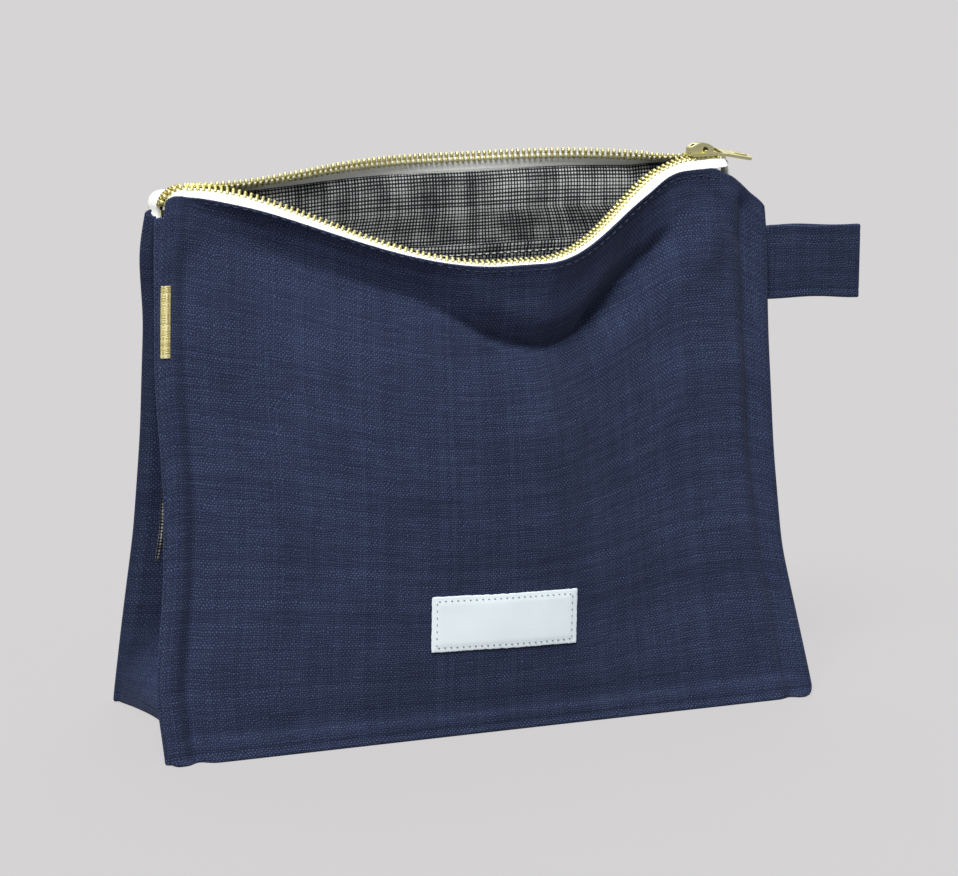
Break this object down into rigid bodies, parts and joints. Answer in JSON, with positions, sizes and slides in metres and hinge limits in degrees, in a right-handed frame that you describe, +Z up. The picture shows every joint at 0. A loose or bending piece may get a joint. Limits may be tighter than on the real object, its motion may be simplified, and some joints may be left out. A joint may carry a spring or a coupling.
{
  "type": "zippered pouch",
  "caption": "Boxed canvas pouch with lined interior, slip pocket, metal zip with auto-lock slider, folded side gussets and a side loop.",
  "frame": {"origin": "centre of the flat base, on the surface the pouch stands on", "axes": "+X to the slider's open end and side loop, +Y to the back panel, +Z up"},
  "size_m": [0.2631, 0.0837, 0.1931],
  "materials": {
    "canvas": "navy plain-weave cotton canvas, matt, slubbed yarns",
    "lining": "black and white irregular mini-check cotton",
    "tape": "white woven zip tape",
    "thread": "navy polyester sewing thread",
    "light_thread": "pale polyester sewing thread",
    "brass_teeth": "bright pale brass",
    "brass_slider": "bright pale brass, die cast and tumbled",
    "spring_steel": "spring steel strip",
    "gold_ribbon": "gold lurex ribbon",
    "label_cloth": "pale woven satin label, blank"
  },
  "bodies": {
    "pouch": {"front_panel": "canvas", "back_panel": "canvas", "base_panel": "canvas", "left_gusset": "canvas", "right_gusset": "canvas", "front_lining": "lining", "back_lining": "lining", "base_lining": "lining", "left_gusset_lining": "lining", "right_gusset_lining": "lining", "inner_pocket": "lining", "pocket_stitching": "light_thread", "left_tape_end": "tape", "right_tape_end": "tape", "left_end_teeth": "brass_teeth", "top_stops": "brass_teeth", "bottom_stop": "brass_teeth", "gold_tab": "gold_ribbon", "label": "label_cloth", "label_stitches": "light_thread", "front_rim_stitching": "thread", "back_rim_stitching": "thread"},
    "front_rim": {"front_tape": "tape", "front_teeth": "brass_teeth"},
    "back_rim": {"back_tape": "tape", "back_teeth": "brass_teeth"},
    "slider": {"slider_body": "brass_slider", "slider_crown": "brass_slider"},
    "lock": {"lock_spring": "spring_steel"},
    "pull": {"pull_tab": "brass_slider"},
    "loop": {"side_loop": "canvas"}
  },
  "joints": [
    {"name": "slider_travel", "type": "slide", "parent": "pouch", "child": "slider", "axis": [-0.9998, 0, -0.018], "range_m": [0, 0.179]},
    {"name": "front_rim_swing", "type": "hinge", "parent": "pouch", "child": "front_rim", "pos_m": [0, -0.08602, 0.24546], "axis": [1, 0, 0], "range_deg": [0, 22.01], "deforming": ["front_tape", "front_teeth"]},
    {"name": "back_rim_swing", "type": "hinge", "parent": "pouch", "child": "back_rim", "pos_m": [0, 0.01086, 0.17485], "axis": [1, 0, 0], "range_deg": [0, 50.01], "deforming": ["back_tape", "back_teeth"]},
    {"name": "pull_hinge", "type": "hinge", "parent": "slider", "child": "pull", "pos_m": [0.08734, 0, 0.19067], "axis": [0, -1, 0], "range_deg": [0, 190]},
    {"name": "lock_lift", "type": "slide", "parent": "slider", "child": "lock", "axis": [-0.018, 0, 0.9998], "range_m": [0, 0.0004]},
    {"name": "loop_hinge", "type": "hinge", "parent": "pouch", "child": "loop", "pos_m": [0.10962, -0.00962, 0.151], "axis": [0, 0, 1], "range_deg": [-80, 55]}
  ],
  "couplings": [
    {"joint": "front_rim_swing", "follows": "slider_travel", "rad_per_m": 2.1451},
    {"joint": "back_rim_swing", "follows": "slider_travel", "rad_per_m": 4.8752},
    {"joint": "lock_lift", "follows": "pull_hinge", "m_per_rad": 0.00012032}
  ]
}
